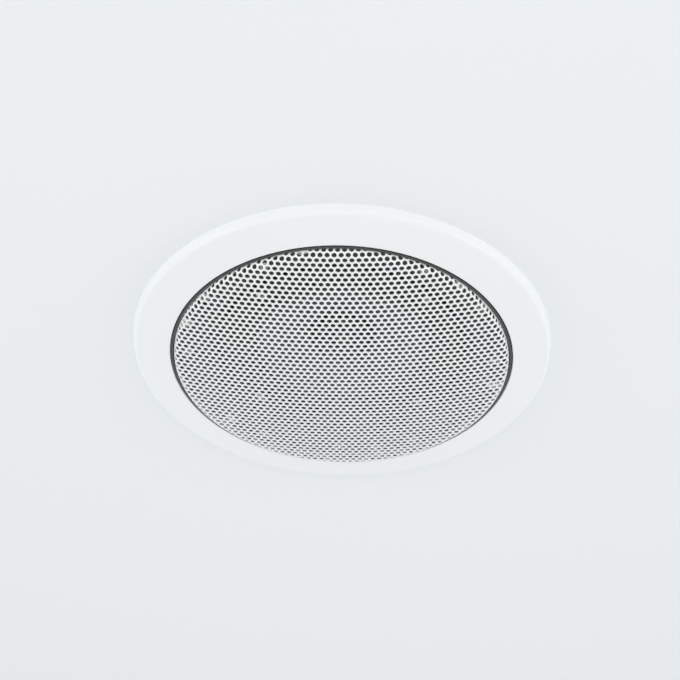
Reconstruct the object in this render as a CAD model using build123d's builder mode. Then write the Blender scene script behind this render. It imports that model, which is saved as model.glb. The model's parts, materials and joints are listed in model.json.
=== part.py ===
from build123d import *
import os
from math import asin, atan2, cos, degrees, hypot, radians, sin, sqrt

# A passive in-ceiling loudspeaker, in millimetres. Z is its axis and points up into the ceiling.
# Z = 0 is the underside of the ceiling board, where the back of the bezel's flange lies.
# Most sizes are widths and depths that follow each other outwards or upwards, so that a
# changed size carries its neighbours with it.

# Cone, surround and dust cap
cone_radius = 50.5
cone_lip = 3.0
cone_depth = 11.5
cone_wall = 0.9
roll_radius = 4.0
surround_wall = 0.8
surround_foot = 3.5
dust_cap_radius = 19.5
dust_cap_rise = 14.0
dust_cap_wall = 0.8
glue_gap = 0.1

# Voice coil
coil_radius = 12.7
former_wall = 0.35
winding_wall = 0.6
winding_height = 10.0
coil_clearance = 0.5
former_tail = 0.5

# Spider
spider_clearance = 0.25
spider_inner_foot = 1.4
spider_wave_width = 4.2
spider_wave_count = 4
spider_wave_height = 1.1
spider_outer_foot = 5.5
spider_wall = 0.5

# Basket
basket_sheet = 1.2
basket_flange = 9.5
basket_throat_gap = 0.5
basket_throat_depth = 5.0
basket_throat_taper = 1.5
basket_depth = 33.0
ledge_depth = 19.0
ledge_margin = 2.0
ledge_overlap = 0.5
basket_neck_taper = 1.5
basket_hole_gap = 1.3
window_count = 6
window_angle = 40.0
window_margin = 2.5

# Motor
top_plate_width = 16.0
top_plate_height = 5.0
magnet_gap = 3.3
magnet_width = 19.0
magnet_height = 12.0
pole_clearance = 0.4
pole_vent_radius = 4.0
yoke_margin = 3.0
yoke_height = 5.0
yoke_chamfer = 1.5

# Gasket and screws that hold the driver
gasket_height = 2.2
gasket_gap = 0.2
driver_screw_inset = 4.3
driver_screw_count = 4
driver_screw_start = 45.0
driver_boss_height = 5.0

# Self-tapping screws
tapper_head_radius = 3.0
tapper_head_height = 2.0
tapper_radius = 1.5
tapper_length = 8.0
tapper_boss_wall = 2.0
pilot_clearance = 0.05
pass_clearance = 0.2
blind_end = 1.0

# Baffle
baffle_wall = 3.0
seat_gap = 1.5
seat_clearance = 1.8
recess_depth = 2.2
seat_depth = 8.2
dish_run = 6.5
dish_corner = 1.2
lip_gap = 0.5
lip_width = 1.3
lip_stand = 0.2
baffle_screw_inset = 10.1
baffle_screw_count = 6

# Bezel
face_width = 21.7
face_depth = 11.3
edge_height = 6.2
edge_draft = 1.2
edge_round = 3.0
opening_round = 0.6
bezel_wall = 2.4
flange_lip = 2.6
shelf_drop = 4.0
shelf_gap = 0.8
spigot_height = 5.0
spigot_below = 1.0
spigot_root = 0.6
rib_count = 24
rib_width = 1.4
rib_drop = 1.5
rib_overlap = 0.5

# Ceiling clamps
clamp_count = 3
clamp_start = 90.0
board_thickness = 12.5
board_thickest = 30.0
clamp_inset = 8.1
clamp_screw_radius = 2.0
clamp_head_radius = 4.0
clamp_head_height = 2.6
clamp_access_gap = 1.0
clamp_boss_radius = 6.0
clamp_boss_height = 4.6
running_clearance = 0.06
hub_radius = 6.5
hub_height = 10.0
arm_width = 9.0
arm_tip_inset = 4.5
arm_tip_height = 5.0
arm_tooth = 1.0
arm_tooth_inset = 3.0
arm_tooth_count = 3
nut_side = 7.0
nut_height = 3.2
nut_clearance = 0.1
clip_radius = 4.5
clip_height = 0.8
clip_gap = 0.2
tower_gap = 0.7
tower_wall = 2.4
tower_margin = 1.4
tower_open_side = 50.0
tower_sweep = 165.0
tower_headroom = 3.0
cap_height = 3.0

# Grille
grille_gap = 0.5
grille_sheet = 0.6
grille_apex = 25.6
grille_rise = 11.2
grille_bend = 4.0
grille_pitch = 15.2
grille_open = 0.76
grille_edge_margin = 3.5

# Magnets that hold the grille
holder_radius = 4.0
holder_height = 2.0
holder_inset = 3.9
holder_count = 6
holder_start = 15.0

# Push terminal on the back of the baffle
terminal_length = 26.0
terminal_width = 12.0
terminal_height = 15.0
terminal_inset = 0.5
ear_length = 7.0
ear_width = 8.0
ear_height = 3.0
terminal_screw_length = 5.0
lever_pitch = 13.0
lever_length = 7.4
lever_width = 6.4
lever_height = 13.0
lever_stand = 5.5
lever_clearance = 0.3
lever_floor = 4.0
lever_groove = 0.8
lever_groove_count = 3
wire_hole_radius = 1.6
wire_hole_height = 6.5
contact_width = 5.0
contact_height = 0.6
contact_tab = 4.0

# Tag strip and wires on the back of the driver
strip_length = 18.0
strip_width = 6.5
strip_height = 1.5
strip_gap = 0.4
tag_pitch = 11.0
tag_width = 3.0
tag_height = 0.5
tag_inner = 4.5
tag_outer = 7.0
lead_radius = 0.9
lead_rise = 10.0
lead_inset = 1.8
lead_bend = 4.0
tinsel_radius = 0.5
tinsel_seat = 22.5
tinsel_drop = 8.0
tinsel_inset = 1.6
tinsel_gap = 0.3
tinsel_bend = 1.8

# Radii that follow from the widths, from the coil outwards
former_outer = coil_radius + former_wall
winding_outer = former_outer + winding_wall
gap_radius = winding_outer + coil_clearance
pole_radius = coil_radius - pole_clearance
magnet_inner = gap_radius + magnet_gap
magnet_outer = magnet_inner + magnet_width
top_plate_outer = gap_radius + top_plate_width
yoke_radius = magnet_outer - yoke_margin
spider_inner = former_outer + spider_clearance
spider_wave_start = spider_inner + spider_inner_foot
spider_wave_end = spider_wave_start + spider_wave_count * spider_wave_width
spider_outer = spider_wave_end + spider_outer_foot
ledge_inner = spider_wave_end - ledge_overlap
ledge_outer = spider_outer + ledge_margin
cone_neck = former_outer + glue_gap
cone_lip_inner = cone_radius - cone_lip
roll_inner = cone_radius + glue_gap
roll_centre = roll_inner + surround_wall / 2 + roll_radius
surround_outer = roll_centre + roll_radius + surround_foot
basket_throat = roll_centre + roll_radius + basket_throat_gap
basket_wall_top = basket_throat - basket_throat_taper
driver_radius = surround_outer + basket_flange
driver_screw_ring = driver_radius - driver_screw_inset
seat_radius = basket_throat + basket_sheet + seat_clearance
recess_radius = driver_radius + seat_gap
dish_radius = recess_radius + dish_run
dish_back_radius = dish_radius + dish_corner
shelf_radius = dish_back_radius + shelf_gap
tower_inner = hub_radius + tower_gap
tower_radius = tower_inner + tower_wall
clamp_radius = shelf_radius + tower_margin + tower_radius
opening_radius = clamp_radius + clamp_inset
spigot_radius = opening_radius + bezel_wall
edge_radius = opening_radius + face_width
flange_radius = edge_radius + edge_draft
baffle_radius = opening_radius - lip_gap
lip_inner = baffle_radius - lip_width
grille_radius = lip_inner - grille_gap
holder_ring = grille_radius - holder_inset
baffle_screw_ring = opening_radius - baffle_screw_inset

# Heights that follow, from the bezel's shelf upwards
shelf_front = -shelf_drop
shelf_back = shelf_front + bezel_wall
plate_back = shelf_front
plate_front = plate_back - baffle_wall
lip_front = -face_depth - lip_stand
seat_front = plate_front + seat_depth
seat_back = seat_front + baffle_wall
recess_front = seat_front - recess_depth
driver_front = seat_front - basket_sheet
cone_lip_front = driver_front - cone_wall
ledge_front = driver_front + ledge_depth
ledge_back = ledge_front + basket_sheet
top_plate_front = driver_front + basket_depth + basket_sheet
top_plate_back = top_plate_front + top_plate_height
magnet_back = top_plate_back + magnet_height
yoke_back = magnet_back + yoke_height
winding_front = (top_plate_front + top_plate_back - winding_height) / 2
former_back = winding_front + winding_height + former_tail
clamp_boss_top = shelf_back + clamp_boss_height
cap_front = board_thickest + hub_height + tower_headroom
cap_back = cap_front + cap_height
terminal_base = seat_back
terminal_top = terminal_base + terminal_height
terminal_floor = terminal_base + lever_floor
terminal_y = -(seat_radius + terminal_inset + terminal_width / 2)
tag_front = ledge_back + strip_height
tag_back = tag_front + tag_height


def cone_front(radius):
    """Height of the cone's front face at a radius."""
    return cone_lip_front + cone_depth * (cone_lip_inner - radius) / (cone_lip_inner - cone_neck)


def turned_outline(*points):
    """Closed outline through (radius, height) points, ready to be turned round Z."""
    with BuildSketch(Plane.XZ) as outline:
        with BuildLine():
            Polyline(*points, close=True)
        make_face()
    return outline.sketch


def ring_outline(inner, outer, front, back):
    """Rectangular outline of a plain ring between two radii and two heights."""
    return turned_outline((inner, front), (outer, front), (outer, back), (inner, back))


def corner(sketch, radius, height):
    """The corner of a turned outline that lies nearest a (radius, height) point."""
    return sketch.vertices().sort_by_distance((radius, height, 0))[0]


def sector(inner, outer, start, sweep):
    """Flat piece of a ring between two radii, from a start angle over a sweep."""
    with BuildSketch() as piece:
        with BuildLine():
            outer_arc = CenterArc((0, 0), outer, start, sweep)
            inner_arc = CenterArc((0, 0), inner, start, sweep)
            Line(outer_arc @ 0, inner_arc @ 0)
            Line(outer_arc @ 1, inner_arc @ 1)
        make_face()
    return piece.sketch


def tapping_screws(places, seat, length):
    """Self-tapping pan-head screws, their heads below a seat height and their shanks above it."""
    with BuildPart() as screws:
        with BuildSketch(Plane.XY.offset(seat)):
            with Locations(*places):
                Circle(tapper_head_radius)
        extrude(amount=-tapper_head_height)
        fillet(screws.edges().group_by(Axis.Z)[0], tapper_head_height / 3)
        with BuildSketch(Plane.XY.offset(seat)):
            with Locations(*places):
                Circle(tapper_radius)
        extrude(amount=length)
        with BuildSketch(Plane.XY.offset(seat - tapper_head_height)):
            with Locations(*places):
                Rectangle(tapper_head_radius, tapper_head_radius / 4)
                Rectangle(tapper_head_radius / 4, tapper_head_radius)
        extrude(amount=tapper_head_height / 2, mode=Mode.SUBTRACT)
    return screws.part


def polar_places(radius, count, start=0.0):
    """Evenly spaced points on a circle round Z."""
    angles = [radians(start + 360.0 * index / count) for index in range(count)]
    return [(radius * cos(angle), radius * sin(angle)) for angle in angles]


os.makedirs("parts", exist_ok=True)
baffle_screw_places = polar_places(baffle_screw_ring, baffle_screw_count)
driver_screw_places = polar_places(driver_screw_ring, driver_screw_count, driver_screw_start)
holder_places = polar_places(holder_ring, holder_count, holder_start)
clamp_places = polar_places(clamp_radius, clamp_count, clamp_start)
ear_offset = (terminal_length + ear_length) / 2
ear_places = [(-ear_offset, terminal_y), (ear_offset, terminal_y)]

# Bezel: sloping face, hollow flange, spigot through the cut-out, shelf and three clamp towers
face_slope = atan2(face_depth - edge_height, face_width)
face_wall_height = bezel_wall / cos(face_slope)
hollow_edge_radius = edge_radius - flange_lip
hollow_root_radius = spigot_radius + spigot_root


def hollow_floor(radius):
    """Height of the back of the sloping face at a radius."""
    return -face_depth + (radius - opening_radius) * (face_depth - edge_height) / face_width + face_wall_height


rib_inner = hollow_root_radius - rib_overlap
rib_outer = hollow_edge_radius + rib_overlap
clamp_tower = sector(tower_inner, tower_radius, tower_open_side, tower_sweep)
flange_rib = extrude(
    turned_outline(
        (rib_inner, hollow_floor(rib_inner) - rib_overlap),
        (rib_outer, hollow_floor(rib_outer) - rib_overlap),
        (rib_outer, -rib_drop),
        (rib_inner, -rib_drop),
    ),
    amount=rib_width / 2,
    both=True,
)
with BuildPart() as bezel:
    with BuildSketch(Plane.XZ) as bezel_section:
        with BuildLine():
            Polyline(
                (flange_radius, 0),
                (edge_radius, -edge_height),
                (opening_radius, -face_depth),
                (opening_radius, shelf_front),
                (shelf_radius, shelf_front),
                (shelf_radius, shelf_back),
                (opening_radius, shelf_back),
                (opening_radius, spigot_height),
                (spigot_radius, spigot_height),
                (spigot_radius, -spigot_below),
                (hollow_root_radius, -spigot_below - spigot_root),
                (hollow_root_radius, hollow_floor(hollow_root_radius)),
                (hollow_edge_radius, hollow_floor(hollow_edge_radius)),
                (flange_radius - flange_lip, 0),
                close=True,
            )
        make_face()
        fillet(corner(bezel_section, edge_radius, -edge_height), edge_round)
        fillet(corner(bezel_section, opening_radius, -face_depth), opening_round)
    revolve(axis=Axis.Z)
    with PolarLocations(0, rib_count):
        add(flange_rib)
    with BuildSketch(Plane.XY.offset(shelf_back)):
        with Locations(*baffle_screw_places):
            Circle(tapper_radius + tapper_boss_wall)
    extrude(amount=tapper_length - baffle_wall - bezel_wall + blind_end)
    with BuildSketch(Plane.XY.offset(shelf_front)):
        with Locations(*baffle_screw_places):
            Circle(tapper_radius + pilot_clearance)
    extrude(amount=tapper_length - baffle_wall, mode=Mode.SUBTRACT)
    with BuildSketch(Plane.XY.offset(shelf_back)):
        with PolarLocations(clamp_radius, clamp_count, clamp_start):
            add(clamp_tower)
    extrude(amount=cap_back - shelf_back)
    with BuildSketch(Plane.XY.offset(cap_front)):
        with Locations(*clamp_places):
            Circle(tower_radius)
    extrude(amount=cap_height)
    with BuildSketch(Plane.XY.offset(shelf_back)):
        with Locations(*clamp_places):
            Circle(clamp_boss_radius)
    extrude(amount=clamp_boss_height)
    with BuildSketch(Plane.XY.offset(shelf_front)):
        with Locations(*clamp_places):
            Circle(clamp_screw_radius + running_clearance)
    extrude(amount=cap_back - shelf_front, mode=Mode.SUBTRACT)
bezel.part.label = "bezel"
export_step(bezel.part, "parts/bezel.step")

# Baffle: black dish with a lip round the grille, a seat for the driver and pockets for the magnets
with BuildPart() as baffle:
    with BuildSketch(Plane.XZ):
        with BuildLine():
            Polyline(
                (baffle_radius, lip_front),
                (lip_inner, lip_front),
                (lip_inner, plate_front),
                (dish_radius, plate_front),
                (recess_radius, recess_front),
                (recess_radius, seat_front),
                (seat_radius, seat_front),
                (seat_radius, seat_back),
                (recess_radius + baffle_wall, seat_back),
                (recess_radius + baffle_wall, seat_front - blind_end),
                (dish_back_radius, plate_back),
                (baffle_radius, plate_back),
                close=True,
            )
        make_face()
    revolve(axis=Axis.Z)
    with BuildSketch(Plane.XY.offset(plate_front)):
        with Locations(*clamp_places):
            Circle(clamp_head_radius + clamp_access_gap)
        with Locations(*baffle_screw_places):
            Circle(tapper_radius + pass_clearance)
    extrude(amount=baffle_wall, mode=Mode.SUBTRACT)
    with BuildSketch(Plane.XY.offset(plate_front)):
        with Locations(*holder_places):
            Circle(holder_radius + glue_gap)
    extrude(amount=holder_height, mode=Mode.SUBTRACT)
    with BuildSketch(Plane.XY.offset(seat_back)):
        with Locations(*driver_screw_places):
            Circle(tapper_radius + tapper_boss_wall)
    extrude(amount=driver_boss_height)
    with BuildSketch(Plane.XY.offset(seat_front)):
        with Locations(*driver_screw_places):
            Circle(tapper_radius + pilot_clearance)
    extrude(amount=tapper_length, mode=Mode.SUBTRACT)
    with BuildSketch(Plane.XY.offset(seat_back)):
        with Locations(*ear_places):
            Circle(tapper_radius + pilot_clearance)
    extrude(amount=ear_height - terminal_screw_length, mode=Mode.SUBTRACT)
baffle.part.label = "baffle"
export_step(baffle.part, "parts/baffle.step")

baffle_screws = tapping_screws(baffle_screw_places, plate_front, tapper_length)
baffle_screws.label = "baffle_screws"
export_step(baffle_screws, "parts/baffle_screws.step")

# Grille: perforated sheet, domed and turned up at its edge, standing on the baffle
grille_sphere = (grille_radius**2 + grille_rise**2) / (2 * grille_rise)
grille_centre = grille_sphere - grille_apex
hole_field = grille_radius - grille_edge_margin - grille_pitch * grille_open / 2
row_pitch = grille_pitch * sqrt(3) / 2
rows = range(-int(hole_field / row_pitch), int(hole_field / row_pitch) + 1)
columns = range(-int(hole_field / grille_pitch) - 1, int(hole_field / grille_pitch) + 2)
hole_places = [
    (grille_pitch * (column + row % 2 / 2), row_pitch * row)
    for row in rows
    for column in columns
    if hypot(grille_pitch * (column + row % 2 / 2), row_pitch * row) <= hole_field
]


def grille_outline(inset):
    """Filled half section of the domed grille, drawn in by an inset from its outer face."""
    rim = grille_radius - inset
    sphere = grille_sphere - inset
    with BuildSketch(Plane.XZ) as outline:
        with BuildLine():
            dome = CenterArc((0, grille_centre), sphere, -90, degrees(asin(rim / sphere)))
            Line(dome @ 1, (rim, plate_front))
            Line((rim, plate_front), (0, plate_front))
            Line((0, plate_front), dome @ 0)
        make_face()
        fillet(corner(outline, rim, grille_centre - sqrt(sphere**2 - rim**2)), grille_bend - inset)
    return outline.sketch


with BuildPart() as grille:
    revolve(grille_outline(0.0), axis=Axis.Z)
    revolve(grille_outline(grille_sheet), axis=Axis.Z, mode=Mode.SUBTRACT)
    with BuildSketch(Plane.XY.offset(-grille_apex)):
        with Locations(*hole_places):
            Circle(grille_pitch * grille_open / 2)
    extrude(amount=grille_apex, mode=Mode.SUBTRACT)
grille.part.label = "grille"
export_step(grille.part, "parts/grille.step")

with BuildPart() as grille_magnets:
    with BuildSketch(Plane.XY.offset(plate_front)):
        with Locations(*holder_places):
            Circle(holder_radius)
    extrude(amount=holder_height)
grille_magnets.part.label = "grille_magnets"
export_step(grille_magnets.part, "parts/grille_magnets.step")

# Basket: stamped sheet with a flange, six windows, a ledge for the spider and a seat for the motor
with BuildPart() as basket:
    with BuildSketch(Plane.XZ):
        with BuildLine():
            Polyline(
                (driver_radius, driver_front),
                (basket_throat, driver_front),
                (basket_wall_top, driver_front + basket_throat_depth),
                (ledge_outer, ledge_front),
                (ledge_inner, ledge_front),
                (ledge_inner - basket_neck_taper, driver_front + basket_depth),
                (gap_radius + basket_hole_gap, driver_front + basket_depth),
            )
            offset(amount=basket_sheet, side=Side.RIGHT)
        make_face()
    revolve(axis=Axis.Z)
    with BuildSketch(Plane.XY.offset(driver_front)):
        with PolarLocations(0, window_count, 180 / window_count):
            add(
                sector(
                    ledge_outer + window_margin,
                    basket_wall_top - window_margin,
                    -window_angle / 2,
                    window_angle,
                )
            )
    extrude(amount=ledge_depth, mode=Mode.SUBTRACT)
    with BuildSketch(Plane.XY.offset(driver_front)):
        with Locations(*driver_screw_places):
            Circle(tapper_radius + pass_clearance)
    extrude(amount=basket_sheet, mode=Mode.SUBTRACT)
basket.part.label = "basket"
export_step(basket.part, "parts/basket.step")

with BuildPart() as driver_gasket:
    revolve(
        ring_outline(surround_outer + gasket_gap, driver_radius, driver_front - gasket_height, driver_front),
        axis=Axis.Z,
    )
    with BuildSketch(Plane.XY.offset(driver_front)):
        with Locations(*driver_screw_places):
            Circle(tapper_radius + pass_clearance)
    extrude(amount=-gasket_height, mode=Mode.SUBTRACT)
driver_gasket.part.label = "driver_gasket"
export_step(driver_gasket.part, "parts/driver_gasket.step")

driver_screws = tapping_screws(driver_screw_places, driver_front - gasket_height, tapper_length)
driver_screws.label = "driver_screws"
export_step(driver_screws, "parts/driver_screws.step")

# Surround: half roll towards the room, with a flat foot behind the cone's lip and one on the basket
with BuildPart() as surround:
    with BuildSketch(Plane.XZ):
        with Locations((roll_centre, driver_front)):
            Circle(roll_radius + surround_wall / 2)
            Circle(roll_radius - surround_wall / 2, mode=Mode.SUBTRACT)
            Rectangle(4 * roll_radius, 4 * roll_radius, align=(Align.CENTER, Align.MIN), mode=Mode.SUBTRACT)
        with Locations((cone_lip_inner, driver_front)):
            Rectangle(roll_inner + surround_wall - cone_lip_inner, surround_wall, align=(Align.MIN, Align.MIN))
        with Locations((surround_outer, driver_front)):
            Rectangle(surround_foot, surround_wall, align=(Align.MAX, Align.MAX))
    revolve(axis=Axis.Z)
surround.part.label = "surround"
export_step(surround.part, "parts/surround.step")

with BuildPart() as cone:
    revolve(
        turned_outline(
            (cone_radius, cone_lip_front),
            (cone_lip_inner, cone_lip_front),
            (cone_neck, cone_front(cone_neck)),
            (cone_neck, cone_front(cone_neck) + cone_wall),
            (cone_lip_inner, driver_front),
            (cone_radius, driver_front),
        ),
        axis=Axis.Z,
    )
cone.part.label = "cone"
export_step(cone.part, "parts/cone.step")

dust_cap_sphere = (dust_cap_radius**2 + dust_cap_rise**2) / (2 * dust_cap_rise)
dust_cap_edge = cone_front(dust_cap_radius) - glue_gap
with BuildPart() as dust_cap:
    with BuildSketch(Plane.XZ):
        with Locations((0, dust_cap_edge - dust_cap_rise + dust_cap_sphere)):
            Circle(dust_cap_sphere)
            Circle(dust_cap_sphere - dust_cap_wall, mode=Mode.SUBTRACT)
        with Locations((0, dust_cap_edge)):
            Rectangle(
                2 * dust_cap_radius,
                2 * dust_cap_rise,
                align=(Align.MIN, Align.MAX),
                mode=Mode.INTERSECT,
            )
    revolve(axis=Axis.Z)
dust_cap.part.label = "dust_cap"
export_step(dust_cap.part, "parts/dust_cap.step")

with BuildPart() as coil_former:
    revolve(
        ring_outline(coil_radius, former_outer, cone_front(cone_neck), former_back),
        axis=Axis.Z,
    )
coil_former.part.label = "coil_former"
export_step(coil_former.part, "parts/coil_former.step")

with BuildPart() as voice_coil:
    revolve(
        ring_outline(former_outer, winding_outer, winding_front, winding_front + winding_height),
        axis=Axis.Z,
    )
voice_coil.part.label = "voice_coil"
export_step(voice_coil.part, "parts/voice_coil.step")

# Spider: corrugated cloth disc, glued to the former and to the front of the basket's ledge
spider_front = ledge_front - spider_wall
with BuildPart() as spider:
    with BuildSketch(Plane.XZ):
        with BuildLine():
            for height in (spider_front, ledge_front):
                Line((spider_inner, height), (spider_wave_start, height))
                for wave in range(spider_wave_count):
                    wave_inner = spider_wave_start + wave * spider_wave_width
                    wave_crest = height + spider_wave_height * (-1) ** wave
                    ThreePointArc(
                        (wave_inner, height),
                        (wave_inner + spider_wave_width / 2, wave_crest),
                        (wave_inner + spider_wave_width, height),
                    )
                Line((spider_wave_end, height), (spider_outer, height))
            Line((spider_inner, spider_front), (spider_inner, ledge_front))
            Line((spider_outer, spider_front), (spider_outer, ledge_front))
        make_face()
    revolve(axis=Axis.Z)
spider.part.label = "spider"
export_step(spider.part, "parts/spider.step")

# Motor: top plate, ring magnet, and a yoke with its pole
with BuildPart() as top_plate:
    revolve(ring_outline(gap_radius, top_plate_outer, top_plate_front, top_plate_back), axis=Axis.Z)
top_plate.part.label = "top_plate"
export_step(top_plate.part, "parts/top_plate.step")

with BuildPart() as ring_magnet:
    revolve(ring_outline(magnet_inner, magnet_outer, top_plate_back, magnet_back), axis=Axis.Z)
ring_magnet.part.label = "ring_magnet"
export_step(ring_magnet.part, "parts/ring_magnet.step")

with BuildPart() as yoke:
    revolve(
        turned_outline(
            (pole_vent_radius, top_plate_front),
            (pole_radius, top_plate_front),
            (pole_radius, magnet_back),
            (yoke_radius, magnet_back),
            (yoke_radius, yoke_back - yoke_chamfer),
            (yoke_radius - yoke_chamfer, yoke_back),
            (pole_vent_radius, yoke_back),
        ),
        axis=Axis.Z,
    )
yoke.part.label = "yoke"
export_step(yoke.part, "parts/yoke.step")

# Tag strip on the back of the basket's ledge, with two solder tags
strip_y = -(ledge_inner + basket_sheet + strip_gap + strip_width / 2)
tag_inner_y = strip_y + tag_inner - strip_width / 2
tag_outer_y = -(ledge_outer + tag_outer)
tag_places = [(side * tag_pitch / 2, (tag_inner_y + tag_outer_y) / 2) for side in (-1, 1)]
with BuildPart() as tag_strip:
    with BuildSketch(Plane.XY.offset(ledge_back)):
        with Locations((0, strip_y)):
            Rectangle(strip_length, strip_width)
    extrude(amount=strip_height)
tag_strip.part.label = "tag_strip"
export_step(tag_strip.part, "parts/tag_strip.step")

with BuildPart() as solder_tags:
    with BuildSketch(Plane.XY.offset(tag_front)):
        with Locations(*tag_places):
            Rectangle(tag_width, tag_inner_y - tag_outer_y)
    extrude(amount=tag_height)
solder_tags.part.label = "solder_tags"
export_step(solder_tags.part, "parts/solder_tags.step")

# Tinsel leads: braided, from the tags through a window to the back of the cone
tinsel_y = tag_outer_y + tinsel_inset
tinsel_reach = cone_lip_inner - tinsel_seat
with BuildPart() as tinsel_leads:
    for side in (-1, 1):
        tinsel_x = side * tag_pitch / 2
        tinsel_end = cone_front(hypot(tinsel_x, tinsel_reach) - tinsel_radius) + cone_wall + tinsel_gap
        with BuildLine() as tinsel_path:
            FilletPolyline(
                (tinsel_x, tinsel_y, tag_front),
                (tinsel_x, tinsel_y, tag_front - tinsel_drop),
                (tinsel_x, -tinsel_reach, tag_front - tinsel_drop),
                (tinsel_x, -tinsel_reach, tinsel_end),
                radius=tinsel_bend,
            )
        with BuildSketch(Plane((tinsel_x, tinsel_y, tag_front), z_dir=(0, 0, -1))):
            Circle(tinsel_radius)
        sweep(path=tinsel_path.wires()[0])
tinsel_leads.part.label = "tinsel_leads"
export_step(tinsel_leads.part, "parts/tinsel_leads.step")

# Push terminal: block with two ears, wire holes, levers that press down and contact strips
lever_places = [(side * lever_pitch / 2, terminal_y) for side in (-1, 1)]
contact_outer_y = terminal_y - lever_width / 2
contact_inner_y = terminal_y + terminal_width / 2 + contact_tab
contact_places = [(x, (contact_outer_y + contact_inner_y) / 2) for x, y in lever_places]
with BuildPart() as terminal_block:
    with BuildSketch(Plane.XY.offset(terminal_base)):
        with Locations((0, terminal_y)):
            Rectangle(terminal_length, terminal_width)
    extrude(amount=terminal_height)
    with BuildSketch(Plane.XY.offset(terminal_base)):
        with Locations(*ear_places):
            Rectangle(ear_length, ear_width)
    extrude(amount=ear_height)
    with BuildSketch(Plane.XY.offset(terminal_base)):
        with Locations(*ear_places):
            Circle(tapper_radius + pass_clearance)
    extrude(amount=ear_height, mode=Mode.SUBTRACT)
    with BuildSketch(Plane.XY.offset(terminal_floor)):
        with Locations(*lever_places):
            Rectangle(lever_length + 2 * lever_clearance, lever_width + 2 * lever_clearance)
    extrude(amount=terminal_height, mode=Mode.SUBTRACT)
    with BuildSketch(Plane.XY.offset(terminal_floor)):
        with Locations(*contact_places):
            Rectangle(contact_width, contact_inner_y - contact_outer_y)
    extrude(amount=contact_height, mode=Mode.SUBTRACT)
    with BuildSketch(Plane.XZ.offset(-terminal_y)):
        with Locations(*[(x, terminal_base + wire_hole_height) for x, y in lever_places]):
            Circle(wire_hole_radius)
    extrude(amount=terminal_width, mode=Mode.SUBTRACT)
terminal_block.part.label = "terminal_block"
export_step(terminal_block.part, "parts/terminal_block.step")

with BuildPart() as terminal_contacts:
    with BuildSketch(Plane.XY.offset(terminal_floor)):
        with Locations(*contact_places):
            Rectangle(contact_width, contact_inner_y - contact_outer_y)
    extrude(amount=contact_height)
terminal_contacts.part.label = "terminal_contacts"
export_step(terminal_contacts.part, "parts/terminal_contacts.step")

for name, place in zip(("terminal_lever_black", "terminal_lever_red"), lever_places):
    with BuildPart() as lever:
        with BuildSketch(Plane.XY.offset(terminal_top + lever_stand)):
            with Locations(place):
                Rectangle(lever_length, lever_width)
        extrude(amount=-lever_height)
        chamfer(lever.faces().sort_by(Axis.Z)[-1].edges(), lever_clearance)
        with BuildSketch(Plane.XY.offset(terminal_top + lever_stand)):
            with Locations(place):
                with GridLocations(0, 2 * lever_groove, 1, lever_groove_count):
                    Rectangle(lever_length, lever_groove)
        extrude(amount=-lever_groove / 2, mode=Mode.SUBTRACT)
    lever.part.label = name
    export_step(lever.part, f"parts/{name}.step")

with BuildPart() as terminal_screws:
    with BuildSketch(Plane.XY.offset(terminal_base + ear_height)):
        with Locations(*ear_places):
            Circle(tapper_head_radius)
    extrude(amount=tapper_head_height)
    fillet(terminal_screws.edges().group_by(Axis.Z)[-1], tapper_head_height / 3)
    with BuildSketch(Plane.XY.offset(terminal_base + ear_height)):
        with Locations(*ear_places):
            Circle(tapper_radius)
    extrude(amount=-terminal_screw_length)
    with BuildSketch(Plane.XY.offset(terminal_base + ear_height + tapper_head_height)):
        with Locations(*ear_places):
            Rectangle(tapper_head_radius, tapper_head_radius / 4)
            Rectangle(tapper_head_radius / 4, tapper_head_radius)
    extrude(amount=-tapper_head_height / 2, mode=Mode.SUBTRACT)
terminal_screws.part.label = "terminal_screws"
export_step(terminal_screws.part, "parts/terminal_screws.step")

# Two leads from the terminal's contact tabs over to the solder tags
lead_start_y = contact_inner_y - lead_inset
lead_end_y = tag_outer_y + tinsel_inset
lead_top = tag_back + lead_rise
for name, place, tag_place in zip(("lead_black", "lead_red"), lever_places, tag_places):
    lead_start = (place[0], lead_start_y, terminal_floor + contact_height)
    with BuildPart() as lead:
        with BuildLine() as lead_path:
            FilletPolyline(
                lead_start,
                (place[0], lead_start_y, lead_top),
                (tag_place[0], lead_end_y, lead_top),
                (tag_place[0], lead_end_y, tag_back),
                radius=lead_bend,
            )
        with BuildSketch(Plane(lead_start, z_dir=(0, 0, 1))):
            Circle(lead_radius)
        sweep(path=lead_path.wires()[0])
    lead.part.label = name
    export_step(lead.part, f"parts/{name}.step")

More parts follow.
